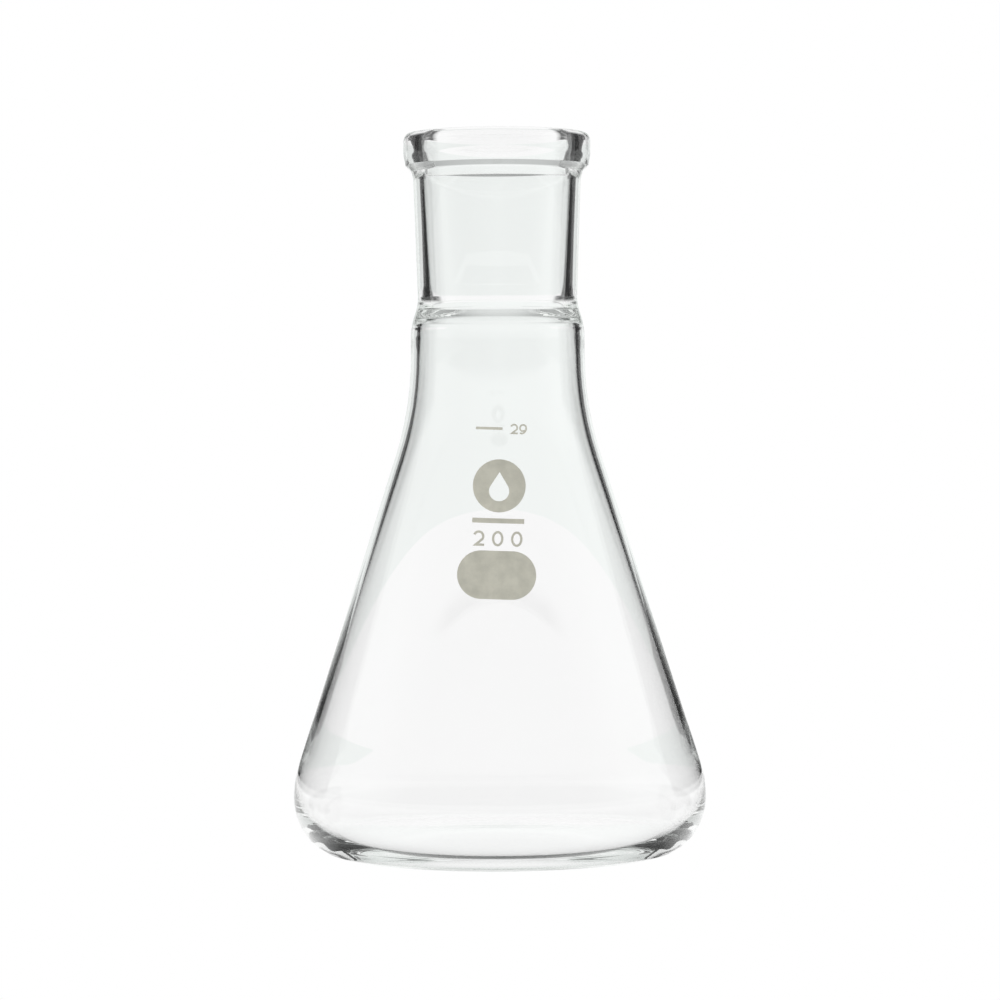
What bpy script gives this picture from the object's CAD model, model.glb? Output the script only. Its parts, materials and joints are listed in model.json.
import json
import math

import bmesh
import bpy
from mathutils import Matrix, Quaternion, Vector, noise

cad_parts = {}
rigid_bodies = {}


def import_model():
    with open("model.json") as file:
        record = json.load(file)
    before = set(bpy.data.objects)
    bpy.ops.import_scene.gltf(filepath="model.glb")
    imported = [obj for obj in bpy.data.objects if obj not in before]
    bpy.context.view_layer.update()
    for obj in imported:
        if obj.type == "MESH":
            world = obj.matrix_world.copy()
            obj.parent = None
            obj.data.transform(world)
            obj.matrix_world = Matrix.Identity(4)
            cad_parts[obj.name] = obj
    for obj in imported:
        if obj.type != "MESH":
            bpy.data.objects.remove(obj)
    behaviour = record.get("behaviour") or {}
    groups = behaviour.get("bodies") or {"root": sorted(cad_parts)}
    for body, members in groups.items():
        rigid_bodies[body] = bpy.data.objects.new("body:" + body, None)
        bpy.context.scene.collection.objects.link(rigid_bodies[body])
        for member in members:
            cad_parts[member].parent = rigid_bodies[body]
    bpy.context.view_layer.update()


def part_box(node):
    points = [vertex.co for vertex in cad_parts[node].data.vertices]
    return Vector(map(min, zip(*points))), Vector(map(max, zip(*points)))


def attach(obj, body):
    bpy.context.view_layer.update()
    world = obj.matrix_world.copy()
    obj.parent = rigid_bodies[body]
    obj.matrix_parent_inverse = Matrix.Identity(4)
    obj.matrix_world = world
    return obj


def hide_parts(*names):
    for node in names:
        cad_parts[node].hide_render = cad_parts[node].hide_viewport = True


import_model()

MM = 0.001
scene = bpy.context.scene


# ---------------------------------------------------------------- driving sizes

BODY_LOW, BODY_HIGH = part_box("flask_body")
SOCKET_LOW, SOCKET_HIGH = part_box("joint_socket")
WIDE_RADIUS = BODY_HIGH.x
SEAM_HEIGHT = BODY_HIGH.z
TOTAL_HEIGHT = SOCKET_HIGH.z
COLLAR_RADIUS = SOCKET_HIGH.x

FOOT_RADIUS = 29.9 * MM
WIDE_HEIGHT = 11.2 * MM
HEEL_RADIUS = 21.2 * MM
CONE_ANGLE = 17.74
SHOULDER_RADIUS = 16.73 * MM
SHOULDER_BEND = 65.5 * MM
STANDING_RING_INNER_RADIUS = 27.4 * MM
PUSH_UP_HEIGHT = 1.2 * MM
FLOOR_DOME_HEIGHT = 0.9 * MM

# Thickness of the blown wall by the height of its outer skin: thick in the floor, thinnest
# just above the heel, where the glass was stretched most.
WALL_BY_HEIGHT = [
    (0.0, 2.2), (1.2, 2.0), (2.6, 1.75), (4.6, 1.45), (6.5, 1.2), (8.4, 0.98), (10.4, 0.83),
    (12.3, 0.72), (14.2, 0.67), (16.2, 0.64), (18.1, 0.70), (20.0, 0.85), (24.0, 1.12),
    (32.0, 1.19), (48.0, 1.35), (64.0, 1.50), (76.0, 1.60), (97.0, 1.58),
]

# The neck widens into the shoulder along an S of two arcs that meet at FLARE_MIDDLE.
FLARE_SLOPE = 20
FLARE_MIDDLE = 104.2 * MM
FLARE_UPPER_ARC = 8.8 * MM
FLARE_LOWER_ARC = 14.0 * MM
FLARE_STEP = 0.25 * MM

# Inside, the bore ends in a small lip and opens out under it.
LIP_CORNER = 104.3 * MM
LIP_ROUND = 0.7 * MM
INNER_SHOULDER_CORNER = (14.9 * MM, 102.2 * MM)
INNER_SHOULDER_ROUND = 3.0 * MM

BORE_LARGE_RADIUS = 14.6 * MM
BORE_TAPER = 0.05
RIM_INNER_ROUND = 0.5 * MM
RIM_EDGE_WIDTH = 1.0 * MM
RIM_EDGE_DEPTH = 1.7 * MM
# (radius, depth below the rim, rounding) of the collar's side, its foot and the neck's top
COLLAR_CORNERS = [
    (18.0 * MM, 4.0 * MM, 5.0 * MM),
    (17.62 * MM, 6.15 * MM, 0.3 * MM),
    (16.5 * MM, 7.2 * MM, 0.9 * MM),
    (16.13 * MM, 8.7 * MM, 2.0 * MM),
]
# The body and the socket stay this far apart at the seam, so that their volumes never meet.
SEAM_GAP = 0.02 * MM

# How finely the outlines are cut: steps a turn, degrees an arc step, and the longest straight.
TURN_STEPS = 240
ARC_STEP = 3.0
STRAIGHT_STEP = 2.5 * MM
DOME_STEPS = 24


# ---------------------------------------------------------------- small helpers

def share_between(value, low, high):
    """How far the value lies from low to high, kept between 0 and 1."""
    return min(1.0, max(0.0, (value - low) / (high - low)))


def linked_piece(name, mesh):
    piece = bpy.data.objects.new(name, mesh)
    scene.collection.objects.link(piece)
    return piece


# ---------------------------------------------------------------- outlines

def ellipse_points(centre, reach_x, reach_y, start, end):
    """Points of an ellipse's arc, from angle start to angle end, in degrees."""
    steps = max(3, math.ceil(abs(end - start) / ARC_STEP))
    points = []
    for k in range(steps + 1):
        angle = math.radians(start + (end - start) * k / steps)
        x = centre[0] + reach_x * math.cos(angle)
        y = centre[1] + reach_y * math.sin(angle)
        points.append(Vector((x, y)))
    return points


def rounded_outline(corners):
    """An outline through (x, y, round) corners, each rounded by an arc of that radius."""
    points = []
    for i, (x, y, round_radius) in enumerate(corners):
        corner = Vector((x, y))
        if not round_radius:
            points.append(corner)
            continue
        back = (Vector(corners[i - 1][:2]) - corner).normalized()
        ahead = (Vector(corners[i + 1][:2]) - corner).normalized()
        half = math.acos(max(-1.0, min(1.0, back.dot(ahead)))) / 2
        centre = corner + (back + ahead).normalized() * (round_radius / math.sin(half))
        start = corner + back * (round_radius / math.tan(half)) - centre
        cross = back.x * ahead.y - back.y * ahead.x
        turn = -math.copysign(math.pi - 2 * half, cross)
        first = math.atan2(start.y, start.x)
        steps = max(4, math.ceil(math.degrees(abs(turn)) / (2 * ARC_STEP)))
        for k in range(steps + 1):
            angle = first + turn * k / steps
            reach = Vector((math.cos(angle), math.sin(angle)))
            points.append(centre + reach * round_radius)
    return points


def outer_skin():
    """The body's outer skin, from the edge of the foot up to the straight shoulder."""
    angle = math.radians(CONE_ANGLE)
    lower = ellipse_points(
        (FOOT_RADIUS, WIDE_HEIGHT), WIDE_RADIUS - FOOT_RADIUS, WIDE_HEIGHT, -90, 0
    )
    heel_centre = (WIDE_RADIUS - HEEL_RADIUS, WIDE_HEIGHT)
    upper = ellipse_points(heel_centre, HEEL_RADIUS, HEEL_RADIUS, 0, CONE_ANGLE)
    cone_foot = upper[-1]
    bend_foot_radius = SHOULDER_RADIUS + SHOULDER_BEND * (1 - math.cos(angle))
    bend_foot_height = cone_foot.y + (cone_foot.x - bend_foot_radius) / math.tan(angle)
    bend_centre = (
        SHOULDER_RADIUS + SHOULDER_BEND,
        bend_foot_height + SHOULDER_BEND * math.sin(angle),
    )
    long_bend = ellipse_points(bend_centre, SHOULDER_BEND, SHOULDER_BEND, 180 + CONE_ANGLE, 180)
    return with_straight_steps(lower + upper[1:] + long_bend)


def wall_thickness(height):
    """A smooth curve through WALL_BY_HEIGHT, in metres."""
    knots = [(z * MM, t * MM) for z, t in WALL_BY_HEIGHT]
    if height <= knots[0][0]:
        return knots[0][1]
    if height >= knots[-1][0]:
        return knots[-1][1]
    k = max(i for i in range(len(knots) - 1) if knots[i][0] <= height)
    (z0, t0), (z1, t1) = knots[k], knots[k + 1]
    before = knots[max(0, k - 1)]
    after = knots[min(len(knots) - 1, k + 2)]
    slope0 = (t1 - before[1]) / (z1 - before[0])
    slope1 = (after[1] - t0) / (after[0] - z0)
    u = (height - z0) / (z1 - z0)
    run = z1 - z0
    through_knots = (2 * u**3 - 3 * u**2 + 1) * t0 + (-2 * u**3 + 3 * u**2) * t1
    from_slopes = (u**3 - 2 * u**2 + u) * run * slope0 + (u**3 - u**2) * run * slope1
    return through_knots + from_slopes


def inner_skin(outer):
    """The outer skin moved inwards by the wall's thickness at each height."""
    points = []
    for k, point in enumerate(outer):
        along = (outer[min(k + 1, len(outer) - 1)] - outer[max(k - 1, 0)]).normalized()
        if k == 0:
            along = Vector((1, 0))
        inwards = Vector((-along.y, along.x))
        points.append(point + inwards * wall_thickness(point.y))
    return points


def bore_radius(height):
    """The radius of the tapered bore, which is widest at the rim."""
    return BORE_LARGE_RADIUS - BORE_TAPER * (TOTAL_HEIGHT - height)


def flare_foot():
    return FLARE_MIDDLE - FLARE_LOWER_ARC * math.sin(math.radians(FLARE_SLOPE))


def flare_top():
    return FLARE_MIDDLE + FLARE_UPPER_ARC * math.sin(math.radians(FLARE_SLOPE))


def flare_radius(height):
    """The outer radius where the neck widens into the shoulder."""
    if height < FLARE_MIDDLE:
        up = max(0.0, height - flare_foot())
        return SHOULDER_RADIUS - FLARE_LOWER_ARC + math.sqrt(FLARE_LOWER_ARC**2 - up**2)
    down = flare_top() - height
    narrowing = 1 - math.cos(math.radians(FLARE_SLOPE))
    neck_foot_radius = SHOULDER_RADIUS - (FLARE_LOWER_ARC + FLARE_UPPER_ARC) * narrowing
    return neck_foot_radius + FLARE_UPPER_ARC - math.sqrt(FLARE_UPPER_ARC**2 - down**2)


def flare_points(low, high):
    steps = math.ceil((high - low) / FLARE_STEP)
    heights = [low + (high - low) * k / steps for k in range(steps + 1)]
    return [Vector((flare_radius(z), z)) for z in heights]


def with_straight_steps(outline):
    """The outline with its long straight stretches cut into short steps."""
    points = [outline[0]]
    for before, after in zip(outline, outline[1:]):
        steps = max(1, math.ceil((after - before).length / STRAIGHT_STEP))
        points += [before.lerp(after, k / steps) for k in range(1, steps + 1)]
    return points


def smooth_dome(radius, edge_height, rise):
    """Points from the axis to the radius, of a low dome that meets the edge height flat."""
    points = []
    for k in range(DOME_STEPS + 1):
        share = k / DOME_STEPS
        height = edge_height + rise * (1 + math.cos(math.pi * share)) / 2
        points.append(Vector((radius * share, height)))
    return points


def body_outline():
    """From the axis under the foot, up the outside and down the inside to the axis again."""
    seam = SEAM_HEIGHT - SEAM_GAP / 2
    foot = smooth_dome(STANDING_RING_INNER_RADIUS, 0.0, PUSH_UP_HEIGHT)
    outside = outer_skin()
    inside = inner_skin(outside)
    shoulder_top = inside.pop()
    bore = bore_radius(seam)
    closing = rounded_outline([
        (bore, seam, 0),
        (bore, LIP_CORNER, LIP_ROUND),
        (*INNER_SHOULDER_CORNER, INNER_SHOULDER_ROUND),
        (shoulder_top.x, shoulder_top.y, 0),
    ])
    floor = smooth_dome(FOOT_RADIUS, WALL_BY_HEIGHT[0][1] * MM, FLOOR_DOME_HEIGHT)[::-1]
    outer_run = foot + outside + flare_points(flare_foot(), seam)
    return with_straight_steps(outer_run + closing + inside[::-1] + floor[1:])


def socket_outline():
    """A closed outline: up the bore, over the rim, and down the collar, neck and flare."""
    seam = SEAM_HEIGHT + SEAM_GAP / 2
    flare = flare_points(seam, flare_top())[::-1]
    edge_centre = (COLLAR_RADIUS - RIM_EDGE_WIDTH, TOTAL_HEIGHT - RIM_EDGE_DEPTH)
    edge = ellipse_points(edge_centre, RIM_EDGE_WIDTH, RIM_EDGE_DEPTH, 90, 0)
    corners = [
        (bore_radius(seam), seam, 0),
        (BORE_LARGE_RADIUS, TOTAL_HEIGHT, RIM_INNER_ROUND),
        *[(point.x, point.y, 0) for point in edge],
        *[(radius, TOTAL_HEIGHT - depth, turn) for radius, depth, turn in COLLAR_CORNERS],
        (flare[0].x, flare[0].y, 0),
    ]
    closed = rounded_outline(corners) + flare[1:]
    return with_straight_steps(closed + [closed[0]])[:-1]


# ---------------------------------------------------------------- glass by turning

# The blown skin wanders from true in slow, shallow waves. They fade out towards the seam, and
# above the foot, so the piece stands flat and meets the socket.
WAVE_HEIGHT = 0.05 * MM
WAVE_LENGTH = 26 * MM
WAVE_FADE_UNDER_SEAM = 12 * MM
WAVE_START_HEIGHT = 1.0 * MM
WAVE_FULL_HEIGHT = 9.0 * MM

ON_THE_AXIS = 1e-7
SHARP_EDGE_ANGLE = 30


def body_wave(point):
    from_seam = share_between(SEAM_HEIGHT - point.z, 0, WAVE_FADE_UNDER_SEAM)
    from_foot = share_between(point.z, WAVE_START_HEIGHT, WAVE_FULL_HEIGHT)
    return WAVE_HEIGHT * noise.noise(point / WAVE_LENGTH) * from_seam * from_foot


def no_wave(point):
    return 0.0


def turned_mesh(name, outline, closed, wave):
    """A surface of revolution. Faces that lie in the seam get the second material."""
    bm = bmesh.new()
    rings = []
    for r, z in outline:
        if r < ON_THE_AXIS:
            rings.append([bm.verts.new((0, 0, z))])
            continue
        ring = []
        for k in range(TURN_STEPS):
            angle = 2 * math.pi * k / TURN_STEPS
            point = Vector((r * math.cos(angle), r * math.sin(angle), z))
            away = r + wave(point)
            ring.append(bm.verts.new((away * math.cos(angle), away * math.sin(angle), z)))
        rings.append(ring)
    pairs = list(zip(rings, rings[1:]))
    if closed:
        pairs.append((rings[-1], rings[0]))
    for low, high in pairs:
        for k in range(TURN_STEPS):
            n = (k + 1) % TURN_STEPS
            if len(low) == 1:
                bm.faces.new((low[0], high[k], high[n]))
            elif len(high) == 1:
                bm.faces.new((low[k], low[n], high[0]))
            else:
                bm.faces.new((low[k], low[n], high[n], high[k]))
    bmesh.ops.recalc_face_normals(bm, faces=bm.faces)
    for face in bm.faces:
        face.smooth = True
        in_seam = all(abs(v.co.z - SEAM_HEIGHT) < SEAM_GAP for v in face.verts)
        face.material_index = 1 if in_seam else 0
    for edge in bm.edges:
        if len(edge.link_faces) == 2 and edge.calc_face_angle(0) > math.radians(SHARP_EDGE_ANGLE):
            edge.smooth = False
    mesh = bpy.data.meshes.new(name)
    bm.to_mesh(mesh)
    bm.free()
    return linked_piece(name, mesh)


# ---------------------------------------------------------------- materials

GLASS_IOR = 1.473
GLASS_TINT = (0.8, 0.9, 0.82, 1)
GLASS_DENSITY = 1.0

ENAMEL_DARK = (0.50, 0.49, 0.42, 1)
ENAMEL_PALE = (0.62, 0.605, 0.52, 1)
ENAMEL_ROUGHNESS = 0.62
ENAMEL_DARK_UP_TO = 0.3
ENAMEL_PALE_FROM = 0.7
MOTTLE_SCALE = 420.0
MOTTLE_DETAIL = 6.0
MOTTLE_ROUGHNESS = 0.6
GRAIN_SCALE = 2600.0
GRAIN_STRENGTH = 0.15
GRAIN_HEIGHT = 0.05 * MM


def new_material(name):
    material = bpy.data.materials.new(name)
    material.use_nodes = True
    tree = material.node_tree
    tree.nodes.clear()
    output = tree.nodes.new("ShaderNodeOutputMaterial")
    return material, tree, output


def glass_material(name):
    """Clear borosilicate glass that is faintly green where it is thick."""
    material, tree, output = new_material(name)
    glass = tree.nodes.new("ShaderNodeBsdfPrincipled")
    glass.inputs["Base Color"].default_value = (1, 1, 1, 1)
    glass.inputs["Roughness"].default_value = 0.0
    glass.inputs["IOR"].default_value = GLASS_IOR
    glass.inputs["Transmission Weight"].default_value = 1.0
    absorb = tree.nodes.new("ShaderNodeVolumeAbsorption")
    absorb.inputs["Color"].default_value = GLASS_TINT
    absorb.inputs["Density"].default_value = GLASS_DENSITY
    tree.links.new(glass.outputs["BSDF"], output.inputs["Surface"])
    tree.links.new(absorb.outputs["Volume"], output.inputs["Volume"])
    return material


def seam_material():
    """The fused seam: light passes straight through."""
    material, tree, output = new_material("fused_seam")
    clear = tree.nodes.new("ShaderNodeBsdfTransparent")
    tree.links.new(clear.outputs["BSDF"], output.inputs["Surface"])
    return material


def enamel_material():
    """Fired enamel: a warm pale grey, slightly uneven in tone and surface."""
    material, tree, output = new_material("fired_enamel")
    place = tree.nodes.new("ShaderNodeTexCoord")
    mottle = tree.nodes.new("ShaderNodeTexNoise")
    mottle.inputs["Scale"].default_value = MOTTLE_SCALE
    mottle.inputs["Detail"].default_value = MOTTLE_DETAIL
    mottle.inputs["Roughness"].default_value = MOTTLE_ROUGHNESS
    tree.links.new(place.outputs["Object"], mottle.inputs["Vector"])
    tone = tree.nodes.new("ShaderNodeValToRGB")
    tone.color_ramp.elements[0].position = ENAMEL_DARK_UP_TO
    tone.color_ramp.elements[0].color = ENAMEL_DARK
    tone.color_ramp.elements[1].position = ENAMEL_PALE_FROM
    tone.color_ramp.elements[1].color = ENAMEL_PALE
    tree.links.new(mottle.outputs["Fac"], tone.inputs["Fac"])
    grain = tree.nodes.new("ShaderNodeTexNoise")
    grain.inputs["Scale"].default_value = GRAIN_SCALE
    tree.links.new(place.outputs["Object"], grain.inputs["Vector"])
    bump = tree.nodes.new("ShaderNodeBump")
    bump.inputs["Strength"].default_value = GRAIN_STRENGTH
    bump.inputs["Distance"].default_value = GRAIN_HEIGHT
    tree.links.new(grain.outputs["Fac"], bump.inputs["Height"])
    enamel = tree.nodes.new("ShaderNodeBsdfPrincipled")
    enamel.inputs["Roughness"].default_value = ENAMEL_ROUGHNESS
    tree.links.new(tone.outputs["Color"], enamel.inputs["Base Color"])
    tree.links.new(bump.outputs["Normal"], enamel.inputs["Normal"])
    tree.links.new(enamel.outputs["BSDF"], output.inputs["Surface"])
    return material


def emission_material(name, colour):
    material, tree, output = new_material(name)
    glow = tree.nodes.new("ShaderNodeEmission")
    glow.inputs["Color"].default_value = (*colour, 1)
    tree.links.new(glow.outputs["Emission"], output.inputs["Surface"])
    return material


def attribute_glow(name):
    """A glow that is read from the vertices of the mesh."""
    material, tree, output = new_material(name)
    level = tree.nodes.new("ShaderNodeAttribute")
    level.attribute_name = "glow"
    glow = tree.nodes.new("ShaderNodeEmission")
    tree.links.new(level.outputs["Color"], glow.inputs["Color"])
    tree.links.new(glow.outputs["Emission"], output.inputs["Surface"])
    return material


# ---------------------------------------------------------------- glass and enamel pieces

seam = seam_material()

body = turned_mesh("blown_body", body_outline(), False, body_wave)
body.data.materials.append(glass_material("body_glass_look"))
body.data.materials.append(seam)
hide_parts("flask_body")
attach(body, "root")

socket = turned_mesh("tapered_socket", socket_outline(), True, no_wave)
socket.data.materials.append(glass_material("socket_glass_look"))
socket.data.materials.append(seam)
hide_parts("joint_socket")
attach(socket, "root")

# The marks keep their CAD solids.
MARK_STARTS = ("joint_size_", "round_emblem", "plain_bar", "capacity_", "marking_patch")

enamel = enamel_material()
for piece in list(scene.objects):
    if piece.type == "MESH" and piece.name.startswith(MARK_STARTS):
        piece.data.materials.clear()
        piece.data.materials.append(enamel)


# ---------------------------------------------------------------- camera

CAMERA_DISTANCE = 0.694
CAMERA_HEIGHT = 0.079
CAMERA_SIDE = 0.27 * MM
CAMERA_PITCH = math.radians(0.891)
CAMERA_ROLL = math.radians(0.29)
LENS = 129.6
SENSOR_WIDTH = 36

camera_data = bpy.data.cameras.new("camera")
camera_data.lens = LENS
camera_data.sensor_width = SENSOR_WIDTH
camera = bpy.data.objects.new("camera", camera_data)
camera.location = (CAMERA_SIDE, -CAMERA_DISTANCE, CAMERA_HEIGHT)
camera.rotation_mode = "QUATERNION"
look = Vector((0, math.cos(CAMERA_PITCH), -math.sin(CAMERA_PITCH)))
camera_roll = Quaternion((0, 0, 1), -CAMERA_ROLL)
camera.rotation_quaternion = look.to_track_quat("-Z", "Y") @ camera_roll
scene.collection.objects.link(camera)
scene.camera = camera


# ---------------------------------------------------------------- stage

WHITE = (1.0, 1.0, 1.0)

# The floor lies a hair under the foot, so the two never share a plane.
FLOOR_REACH = 8.0
FLOOR_DROP = -0.05 * MM

BACKDROP_RADIUS = 7.0
BACKDROP_SEGMENTS = 48
BACKDROP_RINGS = 24

# Dark screens stand far off to the left and right behind the flask and draw its edges. Each
# row is (elevation in degrees, angle from straight behind to the near edge).
SCREEN_ROWS = {
    "left": [(-2.3, 20), (1, 33), (5, 32), (8, 24), (12, 23), (17, 25), (21, 29)],
    "right": [(-2.3, 18), (1, 27), (5, 26.5), (8, 21), (12, 20.5), (17, 23), (21, 27)],
}
SIDES = {"left": -1, "right": 1}
SCREEN_DISTANCE = 2.5
SCREEN_EYE_HEIGHT = 0.1
SCREEN_END_ANGLE = 68
# Glow by the angle inwards from a screen's near edge; the last level is at its far end.
SCREEN_STEPS = [0, 2, 5, 10, 25]
SCREEN_LEVELS = [0.45, 0.16, 0.05, 0.03, 0.03, 0.05]

# Lower screens nearer to the flask draw the edges of its cone. Each row is (height in metres,
# angle from straight behind to the near edge).
LOW_SCREEN_ROWS = {
    "left": [(0.001, 15), (0.04, 15.5), (0.07, 20.5), (0.1, 26)],
    "right": [(0.001, 14), (0.04, 14.5), (0.07, 19.5), (0.1, 23)],
}
LOW_SCREEN_DISTANCE = 0.5

# The floor between flask and screens is in shade too: (distance in metres, level).
SIDE_SHADE_ROWS = [(0.32, 1.0), (0.42, 0.35), (0.6, 0.1), (1.0, 0.05), (2.5, 0.05)]
SIDE_SHADE_ANGLES = [12, 16, 30, 45, 60, 68]
SIDE_SHADE_HEIGHT = 0.6 * MM

# So is the floor in front: (y in metres, level).
FRONT_SHADE_ROWS = [(-0.45, 1.0), (-0.9, 0.5), (-1.6, 0.3), (-6.0, 0.25)]
FRONT_SHADE_HALF_WIDTH = 6.0
FRONT_SHADE_HEIGHT = 1.0 * MM

# The contact shadow round the front of the foot, which fades out towards the sides. Each ring
# is (radius in millimetres, level in front, level at the sides). Angles are from the front, and
# the height is in millimetres.
SHADOW_RINGS = [
    (32.4, 1.0, 1.0), (32.9, 0.08, 0.08), (36, 0.05, 0.05), (38, 0.2, 0.1), (41, 0.7, 0.5),
    (45, 1.0, 1.0),
]
SHADOW_SIDE_START = 45
SHADOW_SIDE_FULL = 60
SHADOW_FADE_START = 62
SHADOW_END_ANGLE = 84
SHADOW_STEPS = 96
SHADOW_HEIGHT = -0.03


def stage_piece(name, mesh, material):
    mesh.materials.append(material)
    piece = linked_piece(name, mesh)
    return piece


def glowing_floor():
    mesh = bpy.data.meshes.new("floor")
    ways = [(-1, -1), (1, -1), (1, 1), (-1, 1)]
    corners = [(x * FLOOR_REACH, y * FLOOR_REACH, FLOOR_DROP) for x, y in ways]
    mesh.from_pydata(corners, [], [(0, 1, 2, 3)])
    return stage_piece("floor", mesh, emission_material("floor_glow", WHITE))


def white_backdrop():
    """A white sphere that only the camera sees."""
    bm = bmesh.new()
    bmesh.ops.create_uvsphere(
        bm, u_segments=BACKDROP_SEGMENTS, v_segments=BACKDROP_RINGS, radius=BACKDROP_RADIUS
    )
    mesh = bpy.data.meshes.new("backdrop")
    bm.to_mesh(mesh)
    bm.free()
    piece = stage_piece("backdrop", mesh, emission_material("backdrop_glow", WHITE))
    piece.visible_diffuse = False
    piece.visible_glossy = False
    piece.visible_transmission = False
    piece.visible_shadow = False
    return piece


def hidden_sheet(name, vertices, faces, levels, material):
    """A sheet with its own glow at each vertex.

    It is seen through the glass and in reflections, but not by the camera, and it neither
    lights nor shades the floor and the marks.
    """
    mesh = bpy.data.meshes.new(name)
    mesh.from_pydata(vertices, [], faces)
    glow = mesh.color_attributes.new("glow", "FLOAT_COLOR", "POINT")
    for i, level in enumerate(levels):
        glow.data[i].color = (level, level, level, 1)
    piece = stage_piece(name, mesh, material)
    piece.visible_camera = False
    piece.visible_diffuse = False
    piece.visible_shadow = False
    return piece


def grid_faces(rows, count):
    """Quads between rows of vertices, with count vertices in each row."""
    faces = []
    for row in range(rows - 1):
        for k in range(count - 1):
            corner = row * count + k
            faces.append((corner, corner + 1, corner + count + 1, corner + count))
    return faces


def behind(side, angle, distance, height):
    """A place behind the flask, at an angle to the left or right of straight behind."""
    turn = math.radians(angle)
    return Vector((side * distance * math.sin(turn), distance * math.cos(turn), height))


def screen_height(elevation):
    return SCREEN_EYE_HEIGHT + SCREEN_DISTANCE * math.tan(math.radians(elevation))


def screen(name, side, distance, rows, material):
    """A screen whose glow falls quickly inwards from its near edge, from (height, angle)."""
    vertices = []
    for height, near_angle in rows:
        angles = [near_angle + step for step in SCREEN_STEPS] + [SCREEN_END_ANGLE]
        vertices += [behind(side, angle, distance, height) for angle in angles]
    faces = grid_faces(len(rows), len(SCREEN_LEVELS))
    return hidden_sheet(name, vertices, faces, SCREEN_LEVELS * len(rows), material)


def side_shade(name, side, material):
    """Shade on the floor that spreads from the flask, with both its edges fading out."""
    vertices = []
    levels = []
    last = len(SIDE_SHADE_ANGLES) - 1
    for distance, level in SIDE_SHADE_ROWS:
        for k, angle in enumerate(SIDE_SHADE_ANGLES):
            vertices.append(behind(side, angle, distance, SIDE_SHADE_HEIGHT))
            levels.append(1.0 if k in (0, last) else level)
    faces = grid_faces(len(SIDE_SHADE_ROWS), len(SIDE_SHADE_ANGLES))
    return hidden_sheet(name, vertices, faces, levels, material)


def front_shade(material):
    vertices = []
    levels = []
    for y, level in FRONT_SHADE_ROWS:
        for x in (-FRONT_SHADE_HALF_WIDTH, FRONT_SHADE_HALF_WIDTH):
            vertices.append(Vector((x, y, FRONT_SHADE_HEIGHT)))
            levels.append(level)
    faces = grid_faces(len(FRONT_SHADE_ROWS), 2)
    return hidden_sheet("front_shade", vertices, faces, levels, material)


def contact_shadow(material):
    vertices = []
    levels = []
    for k in range(SHADOW_STEPS + 1):
        turn = SHADOW_END_ANGLE * (2 * k / SHADOW_STEPS - 1)
        sideways = share_between(abs(turn), SHADOW_SIDE_START, SHADOW_SIDE_FULL)
        strength = 1 - share_between(abs(turn), SHADOW_FADE_START, SHADOW_END_ANGLE)
        x = math.sin(math.radians(turn))
        y = -math.cos(math.radians(turn))
        for radius, front_level, side_level in SHADOW_RINGS:
            vertices.append(Vector((x * radius, y * radius, SHADOW_HEIGHT)) * MM)
            level = front_level + (side_level - front_level) * sideways
            levels.append(1 + (level - 1) * strength)
    faces = grid_faces(SHADOW_STEPS + 1, len(SHADOW_RINGS))
    return hidden_sheet("contact_shadow", vertices, faces, levels, material)


glowing_floor()
white_backdrop()

sheet_glow = attribute_glow("sheet_glow")
for label, side in SIDES.items():
    far_rows = [(screen_height(elevation), angle) for elevation, angle in SCREEN_ROWS[label]]
    low_rows = LOW_SCREEN_ROWS[label]
    screen("screen_" + label, side, SCREEN_DISTANCE, far_rows, sheet_glow)
    screen("low_screen_" + label, side, LOW_SCREEN_DISTANCE, low_rows, sheet_glow)
    side_shade("side_shade_" + label, side, sheet_glow)
contact_shadow(sheet_glow)
front_shade(sheet_glow)


# ---------------------------------------------------------------- light

KEY_POWER = 30
KEY_SIZE = 1.2
KEY_PLACE = Vector((-0.5, -2.4, 1.5))


def key_light():
    """A wide soft light from the front, for everything that is not glass."""
    data = bpy.data.lights.new("key", "AREA")
    data.shape = "SQUARE"
    data.size = KEY_SIZE
    data.energy = KEY_POWER
    light = bpy.data.objects.new("key", data)
    light.location = KEY_PLACE
    light.rotation_mode = "QUATERNION"
    aim = Vector((0, 0, SEAM_HEIGHT / 2)) - KEY_PLACE
    light.rotation_quaternion = aim.to_track_quat("-Z", "Y")
    light.visible_camera = False
    light.visible_glossy = False
    light.visible_transmission = False
    scene.collection.objects.link(light)


key_light()


def ramp(tree, source, stops):
    """Straight lines through (input, output) stops, read by the source socket."""
    node = tree.nodes.new("ShaderNodeValToRGB")
    node.color_ramp.interpolation = "LINEAR"
    low, high = stops[0][0], stops[-1][0]
    spread = tree.nodes.new("ShaderNodeMapRange")
    spread.inputs["From Min"].default_value = low
    spread.inputs["From Max"].default_value = high
    tree.links.new(source, spread.inputs["Value"])
    tree.links.new(spread.outputs["Result"], node.inputs["Fac"])
    elements = node.color_ramp.elements
    while len(elements) > 1:
        elements.remove(elements[-1])
    for k, (place, value) in enumerate(stops):
        share = (place - low) / (high - low)
        element = elements[0] if k == 0 else elements.new(share)
        element.position = share
        element.color = (value, value, value, 1)
    return node.outputs["Color"]


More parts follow.
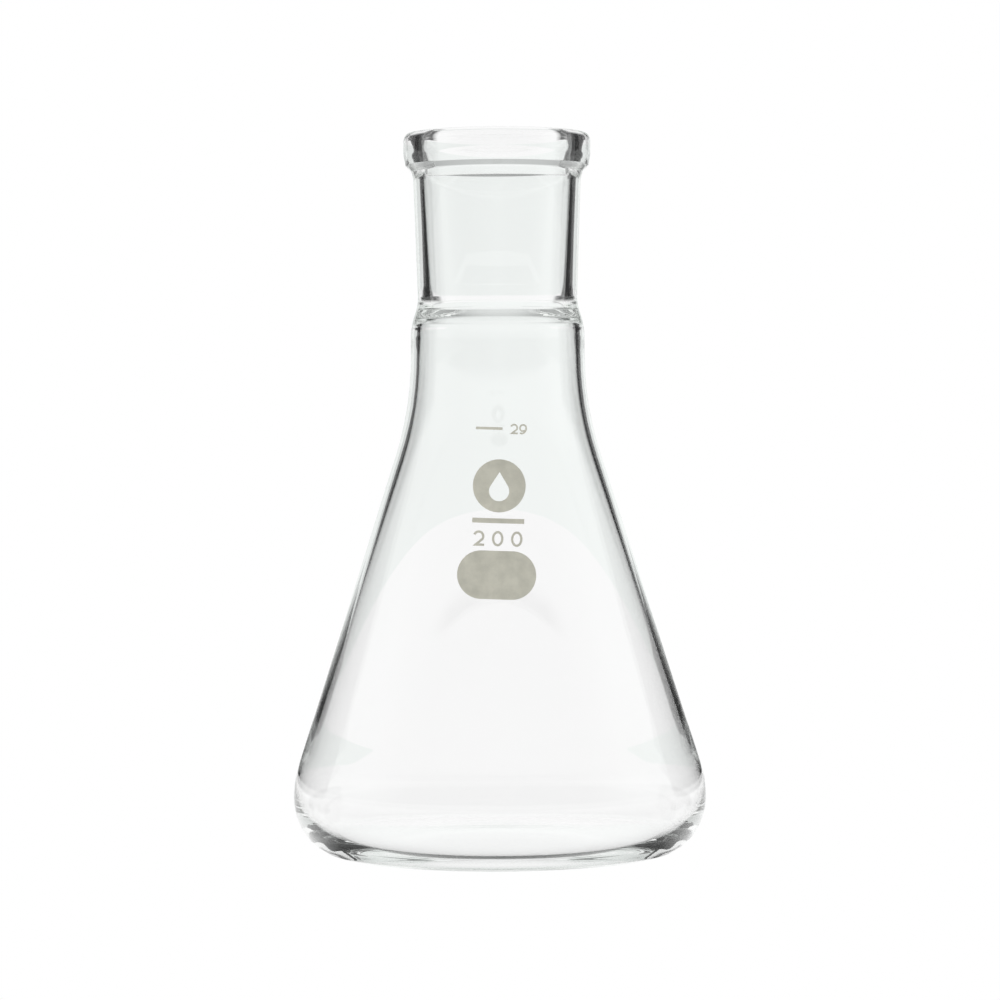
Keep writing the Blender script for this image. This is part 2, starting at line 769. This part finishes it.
# Radiance of the room by the sine of the elevation, by how far it lies behind the flask and
# by how far it lies to the side.
ROOM_BY_ELEVATION = [
    (-0.2, 1.0), (0.3, 1.0), (0.38, 0.84), (0.46, 0.6), (0.54, 0.45), (1.0, 0.42),
]
ROOM_BY_DEPTH = [(-1.0, 0.3), (-0.6, 0.35), (-0.1, 1.0), (1.0, 1.0)]
ROOM_BY_SIDE = [
    (-1.0, 0.6), (-0.5, 0.86), (-0.3, 0.9), (-0.2, 0.94), (-0.1, 0.97), (0.0, 1.0),
    (0.15, 1.0), (0.35, 0.96), (0.5, 0.92), (1.0, 0.7),
]
ROOM_TINT = (0.94, 0.97, 0.955, 1)

# A Mix node has several sockets named A, B and Result: these are the ones for colours.
MIX_A = 6
MIX_B = 7
MIX_RESULT = 2


def multiplied(tree, first, second):
    """A colour socket times a second one, or times a fixed colour."""
    both = tree.nodes.new("ShaderNodeMix")
    both.data_type = "RGBA"
    both.blend_type = "MULTIPLY"
    both.inputs["Factor"].default_value = 1.0
    tree.links.new(first, both.inputs[MIX_A])
    if isinstance(second, tuple):
        both.inputs[MIX_B].default_value = second
    else:
        tree.links.new(second, both.inputs[MIX_B])
    return both.outputs[MIX_RESULT]


def studio_world():
    world = bpy.data.worlds.new("studio")
    world.use_nodes = True
    tree = world.node_tree
    direction = tree.nodes.new("ShaderNodeTexCoord")
    axes = tree.nodes.new("ShaderNodeSeparateXYZ")
    tree.links.new(direction.outputs["Generated"], axes.inputs["Vector"])
    glow = multiplied(tree, ramp(tree, axes.outputs["Z"], ROOM_BY_ELEVATION), ROOM_TINT)
    glow = multiplied(tree, glow, ramp(tree, axes.outputs["Y"], ROOM_BY_DEPTH))
    glow = multiplied(tree, glow, ramp(tree, axes.outputs["X"], ROOM_BY_SIDE))
    tree.links.new(glow, tree.nodes["Background"].inputs["Color"])
    return world


scene.world = studio_world()

# Light bounces many times inside the thick glass of the foot and the rim.
GLASS_BOUNCES = 96
SEAM_PASSES = 16

scene.view_settings.view_transform = "Standard"
scene.cycles.max_bounces = GLASS_BOUNCES
scene.cycles.transmission_bounces = GLASS_BOUNCES
scene.cycles.glossy_bounces = GLASS_BOUNCES
scene.cycles.transparent_max_bounces = SEAM_PASSES
